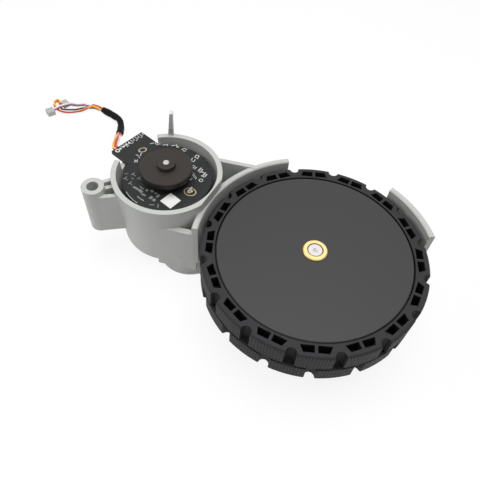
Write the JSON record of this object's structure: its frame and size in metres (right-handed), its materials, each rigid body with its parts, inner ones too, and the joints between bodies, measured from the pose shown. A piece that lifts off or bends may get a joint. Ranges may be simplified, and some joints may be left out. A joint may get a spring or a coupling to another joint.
{
  "type": "robot vacuum wheel module",
  "caption": "Driven wheel module of a robot vacuum: swing arm with a cupped motor and its board, a gear train and a treaded wheel",
  "frame": {"origin": "On the wheel's axis, at the flat back of the gear cover on which the module lies", "axes": "+Z along the wheel's axis and the pivot bore, out of the tyre's outer face; +X from the pivot to the wheel; +Y to the side the leads leave on"},
  "size_m": [0.1508, 0.125, 0.0404],
  "materials": {
    "housing_plastic": "matt light grey moulding",
    "cover_plastic": "matt light grey moulding",
    "screw_steel": "zinc plated",
    "can_steel": "plated steel",
    "cap_plastic": "matt black",
    "ferrite": "matt black",
    "sintered_bronze": "dull",
    "shaft_steel": "ground",
    "core_steel": "varnished sheets",
    "copper": "enamelled",
    "carbon": "matt",
    "terminal_metal": "tinned",
    "pinion_brass": "bright",
    "chip_plastic": "matt black",
    "board": "black solder mask",
    "gear_plastic": "natural acetal",
    "race_steel": "ground",
    "insert_brass": "turned",
    "wheel_plastic": "dark grey moulding",
    "tyre_rubber": "dark grey rubber with a fine knurl",
    "lead_plastic": "coloured insulation",
    "sleeve_plastic": "black shrink sleeve",
    "plug_plastic": "natural nylon"
  },
  "bodies": {
    "housing": {"housing": "housing_plastic", "gear_cover": "cover_plastic", "cover_screws": "screw_steel", "motor_can": "can_steel", "motor_end_cap": "cap_plastic", "motor_magnets": "ferrite", "motor_bushes": "sintered_bronze", "motor_screws": "screw_steel", "motor_brushes": "carbon", "motor_terminals": "terminal_metal", "hall_sensors": "chip_plastic", "circuit_board": "board", "gear_pins": "shaft_steel", "bearing_outer_race": "race_steel", "bearing_balls": "race_steel", "axle_bush": "sintered_bronze", "lead_bundle": "lead_plastic", "shrink_sleeve": "sleeve_plastic", "lead_red_yellow": "lead_plastic", "lead_black": "lead_plastic", "lead_purple_white": "lead_plastic", "plug_front": "plug_plastic", "plug_rear": "plug_plastic"},
    "wheel": {"tyre": "tyre_rubber", "wheel_hub": "wheel_plastic", "hub_insert": "insert_brass", "wheel_axle": "shaft_steel", "output_gear": "gear_plastic", "bearing_inner_race": "race_steel"},
    "gear_2": {"reduction_gear_2": "gear_plastic"},
    "gear_1": {"reduction_gear_1": "gear_plastic"},
    "motor_rotor": {"motor_shaft": "shaft_steel", "armature_core": "core_steel", "armature_windings": "copper", "commutator": "copper", "motor_pinion": "pinion_brass", "encoder_magnet": "ferrite"}
  },
  "joints": [
    {"name": "wheel_spin", "type": "hinge", "parent": "housing", "child": "wheel", "pos_m": [0, 0, 0], "axis": [0, 0, 1], "continuous": true},
    {"name": "gear_2_spin", "type": "hinge", "parent": "housing", "child": "gear_2", "pos_m": [-0.02563, 0.01481, 0], "axis": [0, 0, 1], "continuous": true},
    {"name": "gear_1_spin", "type": "hinge", "parent": "housing", "child": "gear_1", "pos_m": [-0.04061, 0.01547, 0], "axis": [0, 0, 1], "continuous": true},
    {"name": "motor_spin", "type": "hinge", "parent": "housing", "child": "motor_rotor", "pos_m": [-0.04838, 0.02297, 0], "axis": [0, 0, 1], "continuous": true}
  ],
  "couplings": [
    {"joint": "gear_2_spin", "follows": "wheel_spin", "ratio": -5.1667},
    {"joint": "gear_1_spin", "follows": "wheel_spin", "ratio": 20.667},
    {"joint": "motor_spin", "follows": "wheel_spin", "ratio": -90.933}
  ]
}
